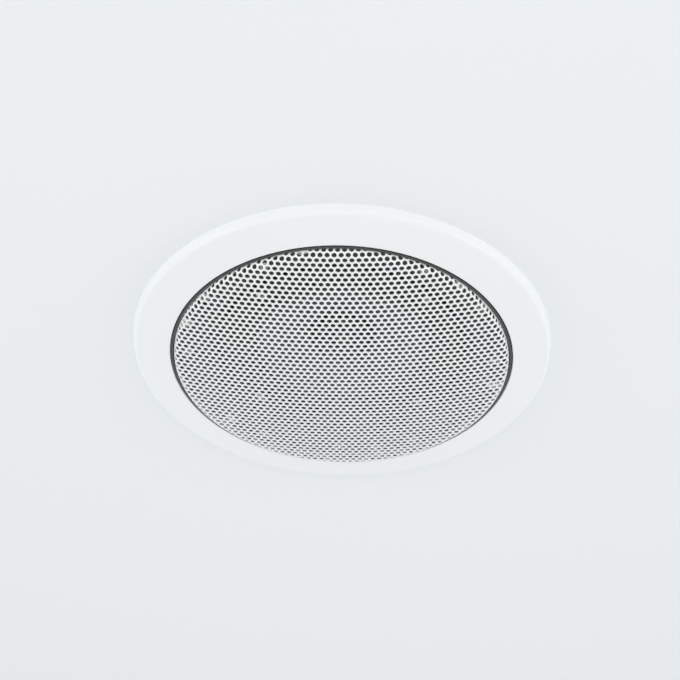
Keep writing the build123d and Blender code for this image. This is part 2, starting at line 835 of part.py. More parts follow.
# Ceiling clamps: a screw through the shelf and tower, an arm that swings out and is drawn down
arm_reach = flange_radius - arm_tip_inset - clamp_radius
tooth_places = [(arm_reach - arm_tooth_inset - 2 * arm_tooth * step, 0) for step in range(arm_tooth_count)]
nut_base = board_thickness + hub_height - nut_height
clip_base = clamp_boss_top + clip_gap
clamp_angles = [clamp_start + 360.0 * index / clamp_count for index in range(clamp_count)]
for number, (angle, place) in enumerate(zip(clamp_angles, clamp_places), start=1):
    outward = (cos(radians(angle)), sin(radians(angle)), 0)
    axis_plane = Plane((*place, 0), x_dir=outward, z_dir=(0, 0, 1))
    side_plane = Plane((*place, 0), x_dir=outward, z_dir=(outward[1], -outward[0], 0))

    with BuildPart() as clamp_screw:
        with BuildSketch(axis_plane.offset(shelf_front)):
            Circle(clamp_head_radius)
        extrude(amount=-clamp_head_height)
        fillet(clamp_screw.edges().group_by(Axis.Z)[0], clamp_head_height / 3)
        with BuildSketch(axis_plane.offset(shelf_front)):
            Circle(clamp_screw_radius)
        extrude(amount=cap_back - shelf_front)
        with BuildSketch(axis_plane.offset(shelf_front - clamp_head_height)):
            Rectangle(clamp_head_radius, clamp_head_radius / 4)
            Rectangle(clamp_head_radius / 4, clamp_head_radius)
        extrude(amount=clamp_head_height / 2, mode=Mode.SUBTRACT)
    clamp_screw.part.label = f"clamp_screw_{number}"
    export_step(clamp_screw.part, f"parts/clamp_screw_{number}.step")

    with BuildPart() as clamp_clip:
        with BuildSketch(axis_plane.offset(clip_base)):
            Circle(clip_radius)
            Circle(clamp_screw_radius + running_clearance, mode=Mode.SUBTRACT)
        extrude(amount=clip_height)
    clamp_clip.part.label = f"clamp_clip_{number}"
    export_step(clamp_clip.part, f"parts/clamp_clip_{number}.step")

    with BuildPart() as clamp_arm:
        with BuildSketch(side_plane):
            with BuildLine():
                Polyline(
                    (0, board_thickness),
                    (arm_reach, board_thickness),
                    (arm_reach, board_thickness + arm_tip_height),
                    (hub_radius, board_thickness + hub_height),
                    (0, board_thickness + hub_height),
                    close=True,
                )
            make_face()
        extrude(amount=arm_width / 2, both=True)
        tip_edges = clamp_arm.edges().filter_by(Axis.Z).sort_by_distance((*place, 0))[-2:]
        fillet(tip_edges, arm_width / 4)
        with BuildSketch(axis_plane.offset(board_thickness)):
            Circle(hub_radius)
        extrude(amount=hub_height)
        with BuildSketch(axis_plane.offset(board_thickness)):
            with Locations(*tooth_places):
                Rectangle(arm_tooth, arm_width)
        extrude(amount=arm_tooth / 2, mode=Mode.SUBTRACT)
        with BuildSketch(axis_plane.offset(board_thickness)):
            Circle(clamp_screw_radius + running_clearance)
        extrude(amount=hub_height, mode=Mode.SUBTRACT)
        with BuildSketch(axis_plane.offset(nut_base)):
            Rectangle(nut_side + 2 * nut_clearance, nut_side + 2 * nut_clearance)
        extrude(amount=nut_height, mode=Mode.SUBTRACT)
    clamp_arm.part.label = f"clamp_arm_{number}"
    export_step(clamp_arm.part, f"parts/clamp_arm_{number}.step")

    with BuildPart() as clamp_nut:
        with BuildSketch(axis_plane.offset(nut_base)):
            Rectangle(nut_side, nut_side)
            Circle(clamp_screw_radius + running_clearance, mode=Mode.SUBTRACT)
        extrude(amount=nut_height)
    clamp_nut.part.label = f"clamp_nut_{number}"
    export_step(clamp_nut.part, f"parts/clamp_nut_{number}.step")
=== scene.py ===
import json
from math import asin, cos, pi, radians, sin, sqrt

import bpy
import numpy as np
from bpy.props import FloatProperty, FloatVectorProperty, IntProperty, PointerProperty
from mathutils import Matrix, Vector


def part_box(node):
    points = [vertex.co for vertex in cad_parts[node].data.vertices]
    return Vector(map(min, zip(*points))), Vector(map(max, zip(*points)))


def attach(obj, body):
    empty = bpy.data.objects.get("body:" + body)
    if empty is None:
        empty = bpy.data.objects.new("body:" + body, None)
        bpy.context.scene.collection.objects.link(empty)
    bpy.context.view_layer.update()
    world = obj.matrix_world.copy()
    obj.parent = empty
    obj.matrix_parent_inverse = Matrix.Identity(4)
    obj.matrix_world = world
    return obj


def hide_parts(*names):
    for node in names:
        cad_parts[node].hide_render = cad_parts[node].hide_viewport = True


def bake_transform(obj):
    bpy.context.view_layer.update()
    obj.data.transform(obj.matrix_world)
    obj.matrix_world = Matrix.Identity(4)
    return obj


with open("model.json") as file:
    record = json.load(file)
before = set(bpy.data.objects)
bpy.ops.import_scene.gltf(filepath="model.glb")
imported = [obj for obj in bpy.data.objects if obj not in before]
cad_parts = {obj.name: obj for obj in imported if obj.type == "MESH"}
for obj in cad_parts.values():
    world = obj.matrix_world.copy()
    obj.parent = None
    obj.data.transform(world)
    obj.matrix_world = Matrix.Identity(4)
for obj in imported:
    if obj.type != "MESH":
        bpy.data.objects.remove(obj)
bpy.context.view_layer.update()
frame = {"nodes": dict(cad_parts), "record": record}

bl_info = {
    "name": "Ceiling Speaker Finishes",
    "version": (1, 0, 0),
    "blender": (4, 5, 0),
    "location": "View3D > Sidebar > Speaker",
    "description": "Perforated grille, suspension, threads, finishes and stage for an in-ceiling speaker",
    "category": "Object",
}

GRILLE_LOW, GRILLE_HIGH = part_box("grille")
SPIDER_LOW, SPIDER_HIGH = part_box("spider")
TAG_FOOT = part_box("solder_tags")[0].z
RECORD_COLOURS = {m["slot"]: m["base_color"] for m in frame["record"]["materials"]}

ROOT_THREE = sqrt(3.0)
# Edges that turn by more than this stay sharp
SHARP_ANGLE = radians(35.0)

# Corners of a cell of the grille: the six of its hexagon, and the middles of its sides
CELL_CORNERS = 12

# Steps along the section and segments round the axis of the two turned soft parts
ROLL_STEPS = 33
ROLL_SEGMENTS = 160
WAVE_STEPS = 16
SPIDER_SEGMENTS = 128
# Radius of the spider's bore, which is glued to the coil former
SPIDER_BORE = 0.0133

# Route of a tinsel lead: its distance from the middle plane, the Y of its two ends, and three heights
LEAD_OFFSET = 0.0055
TAG_REACH = -0.0444
SEAT_REACH = -0.025
LEAD_DIP = 0.0105
LEAD_RISE = 0.0165
LEAD_SEAT = 0.0081
# Steps along a lead, sides round it, depth of its braid as a share of the radius, and twist along it
BRAID_STEPS = 97
BRAID_SIDES = 16
BRAID_RIPPLE = 0.14
BRAID_TWIST = 60

# Clamp screws: points on the flank between two slots, steps of the head's round edge, levels in one turn
FLANK_STEPS = 9
EDGE_STEPS = 7
TURN_LEVELS = 10
# Share of the recess that is left at its floor, and chamfer of the tip as a share of the shank
RECESS_TAPER = 0.8
TIP_CHAMFER = 0.2

# Picture that the camera is set for, and the shift of its middle, in pixels
PICTURE_SIDE = 680
SHIFT_RIGHT = -0.94
SHIFT_UP = 30.09
# Ceiling panel: rings, segments, and its height above the back of the flange
PANEL_RINGS = 12
PANEL_SEGMENTS = 96
PANEL_HEIGHT = 0.0001
# Tint of the room's light from the near and the far side, and the even colour that the camera sees
NEAR_TINT = (1.0, 0.985, 0.94, 1.0)
FAR_TINT = (0.955, 0.985, 1.03, 1.0)
PALE = (0.84, 0.87, 0.895, 1.0)


def length(name, description, default):
    """A length in metres that a user may change."""
    return FloatProperty(
        name=name, description=description, default=default, subtype="DISTANCE", unit="LENGTH", precision=5
    )


def colour(name, description, default):
    """A linear colour that a user may change."""
    return FloatVectorProperty(
        name=name, description=description, default=default, subtype="COLOR", size=3, min=0.0, max=1.0
    )


def turn_angle(name, description, default):
    """An angle, written here in degrees, that a user may change."""
    return FloatProperty(
        name=name, description=description, default=radians(default), subtype="ANGLE", unit="ROTATION"
    )


def lamp_power(name, description, default):
    """A lamp's power in watts that a user may change."""
    return FloatProperty(name=name, description=description, default=default, unit="POWER")


def light_strength(name, description, default):
    """A strength of the room's light that a user may change."""
    return FloatProperty(name=name, description=description, default=default, min=0.0)


class GrilleSizes(bpy.types.PropertyGroup):
    """Sizes of the perforated sheet and of the dome it is pressed to."""

    radius: length("Rim radius", "Outer radius of the upright rim", GRILLE_HIGH.x)
    apex: length("Apex height", "Height of the middle of the dome, below the ceiling", GRILLE_LOW.z)
    foot: length("Foot height", "Height at which the rim stands on the baffle", GRILLE_HIGH.z)
    rise: length("Dome rise", "Rise of the dome from its middle to the rim's radius", 0.0112)
    bend: length("Bend radius", "Outer radius of the bend between dome and rim", 0.004)
    sheet: length("Sheet", "Thickness of the painted steel sheet", 0.0006)
    pitch: length("Pitch", "Distance between neighbouring holes", 0.004)
    hole: length("Hole", "Diameter of a hole after painting", 0.00305)
    shift: FloatVectorProperty(
        name="Shift",
        description="How far the hole pattern lies off the middle of the dome",
        default=(0.00093, 0.00273),
        size=2,
        subtype="XYZ",
        unit="LENGTH",
    )
    turn: turn_angle("Turn", "Angle of the rows of holes to the speaker's X axis", -2.922)


class SuspensionSizes(bpy.types.PropertyGroup):
    """Sizes of the soft parts that carry the cone."""

    roll_centre: length("Roll centre", "Radius of the middle of the half roll", 0.055)
    roll_radius: length("Roll radius", "Radius of the half roll's middle line", 0.004)
    wall: length("Roll wall", "Thickness of the rubber", 0.0008)
    cone_foot: length("Cone foot", "Width of the glued foot behind the cone's lip", 0.0035)
    basket_foot: length("Basket foot", "Width of the glued foot on the basket", 0.0035)
    spider_hub: length("Spider hub", "Width of the flat foot on the coil former", 0.0014)
    spider_wave: length("Spider wave", "Width of one corrugation", 0.0042)
    spider_rise: length("Spider rise", "Height of one corrugation", 0.0011)
    spider_wall: length("Spider wall", "Thickness of the cloth", 0.0005)
    spider_waves: IntProperty(
        name="Spider waves", description="Number of corrugations", default=4, min=1, max=8
    )
    braid: length("Braid", "Radius of a tinsel lead", 0.0005)


class ScrewSizes(bpy.types.PropertyGroup):
    """Sizes of the clamp screws."""

    shank: length("Shank", "Radius over the thread", 0.002)
    root: length("Thread depth", "Depth of the thread", 0.00028)
    pitch: length("Thread pitch", "Rise of the thread in one turn", 0.0014)
    head: length("Head height", "Height of the pan head", 0.0026)
    thread_start: length("Thread start", "Height where the thread begins", 0.0045)
    thread_end: length("Thread end", "Height where the thread ends", 0.0425)
    slot_width: length("Slot width", "Width of each arm of the cross recess", 0.001)
    slot_length: length("Slot length", "Length of each arm of the cross recess", 0.004)
    slot_depth: length("Slot depth", "Depth of the cross recess", 0.0013)


class FinishColours(bpy.types.PropertyGroup):
    """Colours that set the look of the part in the room."""

    bezel: colour("Bezel", "White moulding of the bezel", (0.85, 0.872, 0.885))
    grille: colour("Grille", "White paint of the grille", (0.85, 0.868, 0.88))
    baffle: colour("Baffle", "Black moulding behind the grille", (0.06, 0.06, 0.062))
    cone: colour("Cone", "Grey of the cone", (0.108, 0.108, 0.113))
    surround: colour("Surround", "Dark rubber of the surround", (0.05, 0.05, 0.051))
    ceiling: colour("Ceiling", "Pale paint of the ceiling panel", (0.852, 0.878, 0.9))


class StageSizes(bpy.types.PropertyGroup):
    """Camera, panel and lamps."""

    lens: FloatProperty(
        name="Lens",
        description="Focal length of the camera",
        default=128.252,
        subtype="DISTANCE_CAMERA",
        unit="CAMERA",
    )
    distance: length("Distance", "Distance from the camera to the aim", 1.42644)
    aim: length("Aim height", "Height of the aim on the speaker's axis", -0.019)
    tilt: turn_angle("Tilt", "Angle at which the camera looks up", 38.70)
    roll: turn_angle("Roll", "Turn of the camera about its line of sight", -1.948)
    panel: length("Panel", "Radius of the ceiling panel", 4.0)
    cut_out: length("Cut-out", "Radius of the panel's hole, which the rim of the flange covers", 0.1239)
    key: lamp_power("Key", "Power of the small lamp on the near side", 0.8)
    edge: lamp_power("Edge", "Power of the low lamp on the right", 1.2)
    side: lamp_power("Side", "Power of the low lamp on the left", 1.2)
    under: lamp_power("Under", "Power of the round lamp below", 3.0)
    back: lamp_power("Back", "Power of the lamps above the ceiling", 9.0)
    floor: light_strength("Floor", "Strength of the light from straight below", 0.37)
    walls: light_strength("Walls", "Strength of the light from the level of the ceiling", 1.66)
    lean: light_strength("Lean", "Light that the far side has more than the middle", 0.12)


def add_piece(name, points, faces, body, slot):
    """Mesh piece from whole arrays, smooth up to the sharp angle and finished by its slot.

    It rides on the body if one is given, and otherwise on none.
    """
    mesh = bpy.data.meshes.new(name)
    mesh.from_pydata(np.asarray(points, float).tolist(), [], faces)
    mesh.polygons.foreach_set("use_smooth", np.ones(len(mesh.polygons), bool))
    mesh.set_sharp_from_angle(angle=SHARP_ANGLE)
    mesh.materials.append(slot_material(slot))
    piece = bpy.data.objects.new(name, mesh)
    bpy.context.scene.collection.objects.link(piece)
    if body:
        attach(piece, body)
    return piece


def grid_faces(rows, columns, wrap_rows=False):
    """Quads of a grid whose columns close on themselves, and whose rows do if asked."""
    row = np.arange(rows if wrap_rows else rows - 1)[:, None]
    column = np.arange(columns)[None, :]
    next_row, next_column = (row + 1) % rows, (column + 1) % columns
    corners = [
        row * columns + column,
        row * columns + next_column,
        next_row * columns + next_column,
        next_row * columns + column,
    ]
    return np.stack([np.broadcast_to(c, (row.size, columns)) for c in corners], -1).reshape(-1, 4).tolist()


def turned(profile, segments):
    """A closed profile of (radius, height) points carried round Z.

    The point (r, z) goes to (r cos a, r sin a, z) at the angle a.
    """
    radius, height = np.asarray(profile, float).T
    angle = 2 * pi * np.arange(segments) / segments
    x, y = np.outer(radius, np.cos(angle)), np.outer(radius, np.sin(angle))
    z = np.outer(height, np.ones(segments))
    return np.stack([x, y, z], -1).reshape(-1, 3), grid_faces(len(radius), segments, wrap_rows=True)


def thick_line(line, wall):
    """Closed profile of a wall: its middle line moved along the normal, by half the wall to each side."""
    line = np.asarray(line, float)
    along = np.gradient(line, axis=0)
    normal = np.stack([along[:, 1], -along[:, 0]], -1) / np.linalg.norm(along, axis=1)[:, None]
    return np.concatenate([line + normal * wall / 2, (line - normal * wall / 2)[::-1]])


def bend_by_radius(piece):
    """Bakes a ring's placement into its mesh and reads its points.
    """
    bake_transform(piece)
    points = np.empty(len(piece.data.vertices) * 3, np.float32)
    piece.data.vertices.foreach_get("co", points)


def dome_section(sizes):
    """The two arcs of the grille's section.

    The cap is a sphere with the given rise at the rim's radius. The bend is a circle inside it that touches
    the cap and the upright rim. Gives the sphere's radius and centre height, the angle at which the bend
    begins, and the radius and height of the bend's centre.
    """
    sphere = (sizes.radius**2 + sizes.rise**2) / (2 * sizes.rise)
    centre = sizes.apex + sphere
    bend_radius = sizes.radius - sizes.bend
    start = asin(bend_radius / (sphere - sizes.bend))
    bend_height = centre - sqrt((sphere - sizes.bend) ** 2 - bend_radius**2)
    return sphere, centre, start, bend_radius, bend_height


def sheet_reach(sizes):
    """Length along the section from the middle of the dome to the foot of the rim."""
    sphere, _, start, _, bend_height = dome_section(sizes)
    return sphere * start + sizes.bend * (pi / 2 - start) + sizes.foot - bend_height


def pressed(flat, sizes, inset):
    """Where the press carries points of the flat sheet, moved inwards by an inset.

    A point's distance from the middle is kept as length along the section: first a sphere cap, then a
    round bend, then the upright rim. Its direction round the middle stays.
    """
    sphere, centre, start, bend_radius, bend_height = dome_section(sizes)
    cap_length = sphere * start
    bend_length = sizes.bend * (pi / 2 - start)
    run = np.hypot(flat[..., 0], flat[..., 1])
    around = np.arctan2(flat[..., 1], flat[..., 0])
    on_cap = run < cap_length
    slope = np.where(on_cap, run / sphere, np.minimum(start + (run - cap_length) / sizes.bend, pi / 2))
    rim = np.maximum(run - cap_length - bend_length, 0)
    radius = np.where(on_cap, sphere * np.sin(slope), bend_radius + sizes.bend * np.sin(slope))
    height = np.where(on_cap, centre - sphere * np.cos(slope), bend_height - sizes.bend * np.cos(slope) + rim)
    radius = radius - inset * np.sin(slope)
    height = height + inset * np.cos(slope)
    return np.stack([radius * np.cos(around), radius * np.sin(around), height], -1)


def hole_pattern(sizes, reach):
    """Centres of the holes, with some to spare past the reach, and the spokes to the corners of a cell.

    The holes stand in rows, every other row half a pitch along and each a pitch times half the root of
    three from the last. The whole pattern is shifted and then turned.
    """
    count = int(reach / (sizes.pitch * ROOT_THREE / 2)) + 2
    across, along = np.meshgrid(np.arange(-2 * count, 2 * count + 1), np.arange(-count, count + 1))
    turn = np.array([[cos(sizes.turn), -sin(sizes.turn)], [sin(sizes.turn), cos(sizes.turn)]])
    lattice = np.stack([sizes.pitch * (across + along / 2), sizes.pitch * ROOT_THREE / 2 * along], -1)
    centres = (lattice.reshape(-1, 2) + np.array(sizes.shift[:])) @ turn.T
    spoke = np.radians(360.0 / CELL_CORNERS * np.arange(CELL_CORNERS))
    return centres, np.stack([np.cos(spoke), np.sin(spoke)], -1) @ turn.T


def free_edges(edges, count):
    """Edges that no neighbouring cell runs along the other way, which are those of the sheet's foot."""
    forward = edges[:, 0] * count + edges[:, 1]
    reverse = edges[:, 1] * count + edges[:, 0]
    return edges[~np.isin(reverse, forward)]


def perforated_sheet(sizes):
    """Points and faces of the pressed, perforated sheet.

    The flat sheet is a honeycomb of cells, one to a hole of the staggered pattern. Each cell is a ring of
    twelve quads between its hole and its hexagon, on both faces of the sheet, with a wall through the hole.
    Cells at the foot are drawn in to the sheet's edge and stay whole. The flat points are then pressed.
    """
    reach = sheet_reach(sizes)
    centres, spokes = hole_pattern(sizes, reach)
    side_or_corner = np.where(np.arange(CELL_CORNERS) % 2 == 0, sizes.pitch / 2, sizes.pitch / ROOT_THREE)
    cells = centres[:, None, :] + spokes * side_or_corner[:, None]
    run = np.linalg.norm(cells, axis=-1)
    # A cell that hardly reaches inside the foot would be a sliver, so it is left out
    kept = (run < reach - sizes.sheet / 8).any(1)
    centres, cells, run = centres[kept], cells[kept], run[kept]
    holed = (run < reach).all(1)
    cells = cells * np.minimum(1.0, reach / run)[..., None]
    # Corners that neighbouring cells share become one point
    micron = 1e-6
    whole_microns = np.round(cells.reshape(-1, 2) / micron).astype(np.int64)
    corners, index = np.unique(whole_microns, axis=0, return_inverse=True)
    index = index.reshape(-1, CELL_CORNERS)
    holes = (centres[holed][:, None, :] + spokes * sizes.hole / 2).reshape(-1, 2)
    flat = np.concatenate([corners * micron, holes])
    points = np.concatenate([pressed(flat, sizes, 0.0), pressed(flat, sizes, sizes.sheet)])
    back = len(flat)

    outline = index[holed]
    ring = len(corners) + np.arange(len(holes)).reshape(-1, CELL_CORNERS)
    next_outline, next_ring = np.roll(outline, -1, 1), np.roll(ring, -1, 1)
    front_face = np.stack([outline, ring, next_ring, next_outline], -1).reshape(-1, 4)
    back_face = np.stack([outline, next_outline, next_ring, ring], -1).reshape(-1, 4) + back
    hole_wall = np.stack([ring, ring + back, next_ring + back, next_ring], -1).reshape(-1, 4)

    # Whole cells at the foot, without the corners that fell together when they were drawn in
    plain = [list(dict.fromkeys(cell)) for cell in index[~holed].tolist()]
    plain = [cell for cell in plain if len(cell) > 2]
    plain_front = [cell[::-1] for cell in plain]
    plain_back = [[corner + back for corner in cell] for cell in plain]
    plain_edges = [pair for cell in plain for pair in zip(cell, cell[1:] + cell[:1])]

    holed_edges = np.stack([outline, next_outline], -1).reshape(-1, 2)
    free = free_edges(np.concatenate([holed_edges, np.array(plain_edges)]), back)
    foot = np.stack([free[:, 0], free[:, 1], free[:, 1] + back, free[:, 0] + back], -1)
    quads = np.concatenate([front_face, back_face, hole_wall, foot]).tolist()
    return points, quads + plain_front + plain_back


class SPEAKER_OT_grille(bpy.types.Operator):
    """Makes the finely perforated grille"""

    bl_idname = "speaker.grille"
    bl_label = "Perforated grille"

    def execute(self, context):
        points, faces = perforated_sheet(context.scene.speaker_grille)
        grille = add_piece("perforated_grille", points, faces, "housing", "white_powder")
        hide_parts("grille")
        return {"FINISHED"}


def roll_profile(sizes):
    """Half roll towards the room.

    A half circle joins two feet: the cone's lies half a wall above the circle's ends, the basket's half a
    wall below them.
    """
    half_wall = sizes.wall / 2
    end = 360 - np.degrees(asin(half_wall / sizes.roll_radius))
    turn = np.radians(np.linspace(180, end, ROLL_STEPS))
    across = sizes.roll_centre + sizes.roll_radius * np.cos(turn)
    roll = np.stack([across, sizes.roll_radius * np.sin(turn)], -1)
    roll_inner = sizes.roll_centre - sizes.roll_radius
    inner = np.array([[roll_inner - sizes.cone_foot, half_wall], [roll_inner - half_wall, half_wall]])
    outer = np.array([[sizes.roll_centre + sizes.roll_radius + sizes.basket_foot, -half_wall]])
    return thick_line(np.concatenate([inner, roll, outer]), sizes.wall)


def spider_profile(sizes):
    """Corrugated disc: a sine wave of the given width and rise between two flat feet."""
    middle = SPIDER_LOW.z + (SPIDER_HIGH.z - SPIDER_LOW.z) / 2
    start = SPIDER_BORE + sizes.spider_hub
    end = start + sizes.spider_waves * sizes.spider_wave
    waves = np.linspace(start, end, WAVE_STEPS * sizes.spider_waves + 1)
    radius = np.concatenate([[SPIDER_BORE], waves, [SPIDER_HIGH.x]])
    phase = np.clip((radius - start) / sizes.spider_wave, 0, sizes.spider_waves) * pi
    on_waves = (radius > start) & (radius < end)
    height = middle + sizes.spider_rise * np.sin(phase) * np.where(on_waves, 1.0, 0.0)
    return thick_line(np.stack([radius, height], -1), sizes.spider_wall)


class SPEAKER_OT_suspension(bpy.types.Operator):
    """Makes the rubber roll and the corrugated spider that carry the cone"""

    bl_idname = "speaker.suspension"
    bl_label = "Roll and spider"

    def execute(self, context):
        sizes = context.scene.speaker_suspension
        points, faces = turned(roll_profile(sizes), ROLL_SEGMENTS)
        roll = add_piece("surround_roll", points, faces, None, "rubber")
        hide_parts("surround")
        bend_by_radius(roll)
        points, faces = turned(spider_profile(sizes), SPIDER_SEGMENTS)
        spider = add_piece("spider_disc", points, faces, None, "spider_cloth")
        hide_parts("spider")
        bend_by_radius(spider)
        return {"FINISHED"}


def braid_tube(side, sizes):
    """Tinsel lead as a tube along a cubic Bezier curve, its radius rippling with two crossing helices."""
    share = np.linspace(0, 1, BRAID_STEPS)[:, None]
    rest = 1 - share
    x = side * LEAD_OFFSET
    tag, dip = np.array([x, TAG_REACH, TAG_FOOT]), np.array([x, TAG_REACH, LEAD_DIP])
    rise, seat = np.array([x, SEAT_REACH, LEAD_RISE]), np.array([x, SEAT_REACH, LEAD_SEAT])
    line = rest**3 * tag + 3 * rest**2 * share * dip + 3 * rest * share**2 * rise + share**3 * seat
    forward = np.gradient(line, axis=0)
    forward /= np.linalg.norm(forward, axis=1)[:, None]
    sideways = np.tile([1.0, 0.0, 0.0], (len(line), 1))
    upward = np.cross(forward, sideways)
    angle = 2 * pi * np.arange(BRAID_SIDES) / BRAID_SIDES
    helices = np.sin(2 * angle + BRAID_TWIST * share) * np.sin(2 * angle - BRAID_TWIST * share)
    radius = (sizes.braid * (1 - BRAID_RIPPLE * np.abs(helices)))[..., None]
    cosine, sine = np.cos(angle)[None, :, None], np.sin(angle)[None, :, None]
    points = line[:, None, :] + radius * (cosine * sideways[:, None, :] + sine * upward[:, None, :])
    first = list(range(BRAID_SIDES))
    last = list(range(BRAID_SIDES * (BRAID_STEPS - 1), BRAID_SIDES * BRAID_STEPS))
    return points.reshape(-1, 3), grid_faces(BRAID_STEPS, BRAID_SIDES) + [first[::-1], last]


class SPEAKER_OT_tinsel(bpy.types.Operator):
    """Makes the two braided leads that hang between the tags and the cone"""

    bl_idname = "speaker.tinsel"
    bl_label = "Tinsel leads"

    def execute(self, context):
        sizes = context.scene.speaker_suspension
        for name, side in (("tinsel_braid_left", -1), ("tinsel_braid_right", 1)):
            points, faces = braid_tube(side, sizes)
            braid = add_piece(name, points, faces, None, "tinsel")
            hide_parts("tinsel_leads")
            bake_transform(braid)
        return {"FINISHED"}


def cross_recess(angle, sizes):
    """Radius of the cross recess at each angle, which is the larger of its two slots' radii."""
    tiny = 1e-6
    half_width, half_length = sizes.slot_width / 2, sizes.slot_length / 2
    cosine, sine = np.maximum(np.abs(np.cos(angle)), tiny), np.maximum(np.abs(np.sin(angle)), tiny)
    first = np.minimum(half_length / cosine, half_width / sine)
    second = np.minimum(half_width / cosine, half_length / sine)
    return np.maximum(first, second)


def threaded_screw(number, sizes):
    """Pan-head screw as one lofted grid of levels by angles.

    The lowest levels follow the cross recess. The head's levels are circles, with a quarter round at its
    edge. On the thread the radius falls and rises once a turn, as a triangle wave of height over pitch less
    the share of the turn, and it fades out over one pitch at both ends.
    """
    low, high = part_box(f"clamp_screw_{number}")
    head_radius = (high.x - low.x) / 2
    seat = low.z + sizes.head
    corner = np.arctan2(sizes.slot_width, sizes.slot_length)
    quarter = np.concatenate([[0.0], np.linspace(corner, pi / 2 - corner, FLANK_STEPS)])
    angle = np.concatenate([quarter + turn * pi / 2 for turn in range(4)])
    slot = cross_recess(angle, sizes)
    plain = np.ones_like(angle)
    edge = np.radians(np.linspace(0, 90, EDGE_STEPS))
    round_off = sizes.head / 3
    thread = np.arange(sizes.thread_start, sizes.thread_end, sizes.pitch / TURN_LEVELS)
    wave = np.abs(2 * ((thread[:, None] / sizes.pitch - angle / (2 * pi)) % 1.0) - 1)
    fade = np.clip(np.minimum(thread - thread[0], thread[-1] - thread) / sizes.pitch, 0, 1)[:, None]
    radii = np.concatenate(
        [
            [slot * RECESS_TAPER, slot],
            np.outer(head_radius - round_off + round_off * np.sin(edge), plain),
            [plain * head_radius, plain * sizes.shank],
            sizes.shank - sizes.root * fade * (1 - wave),
            [plain * sizes.shank, plain * sizes.shank * (1 - TIP_CHAMFER)],
        ]
    )
    heights = np.concatenate(
        [
            [low.z + sizes.slot_depth, low.z],
            low.z + round_off * (1 - np.cos(edge)),
            [seat, seat],
            thread,
            [high.z - sizes.shank * TIP_CHAMFER, high.z],
        ]
    )
    x = (low.x + high.x) / 2 + radii * np.cos(angle)
    y = (low.y + high.y) / 2 + radii * np.sin(angle)
    z = np.broadcast_to(heights[:, None], radii.shape)
    faces = grid_faces(len(heights), len(angle))
    floor = list(range(len(angle)))[::-1]
    tip = list(range(len(angle) * (len(heights) - 1), len(angle) * len(heights)))
    return np.stack([x, y, z], -1).reshape(-1, 3), faces + [floor, tip]


class SPEAKER_OT_clamp_screws(bpy.types.Operator):
    """Makes the three clamp screws with their threads and cross recesses"""

    bl_idname = "speaker.clamp_screws"
    bl_label = "Clamp screws"

    def execute(self, context):
        for number in (1, 2, 3):
            points, faces = threaded_screw(number, context.scene.speaker_screws)
            screw = add_piece(
                f"threaded_clamp_screw_{number}", points, faces, f"clamp_screw_{number}", "zinc_steel"
            )
            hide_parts(f"clamp_screw_{number}")
        return {"FINISHED"}


GROUP_INPUTS = (
    ("Colour", "NodeSocketColor"),
    ("Grain", "NodeSocketFloat"),
    ("Cloud", "NodeSocketFloat"),
    ("Roughness", "NodeSocketFloat"),
    ("Spread", "NodeSocketFloat"),
)
GROUP_OUTPUTS = (
    ("Colour", "NodeSocketColor"),
    ("Roughness", "NodeSocketFloat"),
    ("Height", "NodeSocketFloat"),
)
# Range in which most of a noise's values lie
NOISE_LOW = 0.3
NOISE_HIGH = 0.7


def new_group(name):
    """Shader node group with the common inputs and outputs, and the place on the piece."""
    group = bpy.data.node_groups.new(name, "ShaderNodeTree")
    for label, kind in GROUP_INPUTS:
        group.interface.new_socket(label, in_out="INPUT", socket_type=kind)
    for label, kind in GROUP_OUTPUTS:
        group.interface.new_socket(label, in_out="OUTPUT", socket_type=kind)
    place = group.nodes.new("ShaderNodeTexCoord").outputs["Object"]
    return group, group.nodes.new("NodeGroupInput").outputs, group.nodes.new("NodeGroupOutput").inputs, place


def feed(tree, socket, value):
    """Links a socket to another, or sets it."""
    if isinstance(value, bpy.types.NodeSocket):
        tree.links.new(value, socket)
    else:
        socket.default_value = value


def noise(tree, place, scale, detail, rough=0.5):
    """Value of a noise at a place."""
    node = tree.nodes.new("ShaderNodeTexNoise")
    feed(tree, node.inputs["Vector"], place)
    feed(tree, node.inputs["Scale"], scale)
    feed(tree, node.inputs["Detail"], detail)
    feed(tree, node.inputs["Roughness"], rough)
    return node.outputs["Fac"]


def sums(tree, operation, first, second, third=0.0):
    """Result of one arithmetic node."""
    node = tree.nodes.new("ShaderNodeMath")
    node.operation = operation
    feed(tree, node.inputs[0], first)
    feed(tree, node.inputs[1], second)
    feed(tree, node.inputs[2], third)
    return node.outputs[0]


def weighed(tree, first, share, second):
    """Two values added, the first by its share and the second by the rest."""
    rest = sums(tree, "MULTIPLY", second, 1.0 - share)
    return sums(tree, "MULTIPLY_ADD", first, share, rest)


def spread(tree, value, low, high):
    """A noise's middle range carried to another range."""
    node = tree.nodes.new("ShaderNodeMapRange")
    feed(tree, node.inputs["Value"], value)
    feed(tree, node.inputs["From Min"], NOISE_LOW)
    feed(tree, node.inputs["From Max"], NOISE_HIGH)
    feed(tree, node.inputs["To Min"], low)
    feed(tree, node.inputs["To Max"], high)
    return node.outputs["Result"]


def brightened(tree, tint, value):
    """A colour with its value scaled."""
    node = tree.nodes.new("ShaderNodeHueSaturation")
    feed(tree, node.inputs["Color"], tint)
    feed(tree, node.inputs["Value"], value)
    return node.outputs["Color"]


def stretched(tree, place, scale):
    """A place scaled differently along its axes."""
    node = tree.nodes.new("ShaderNodeMapping")
    feed(tree, node.inputs["Vector"], place)
    node.inputs["Scale"].default_value = scale
    return node.outputs["Vector"]


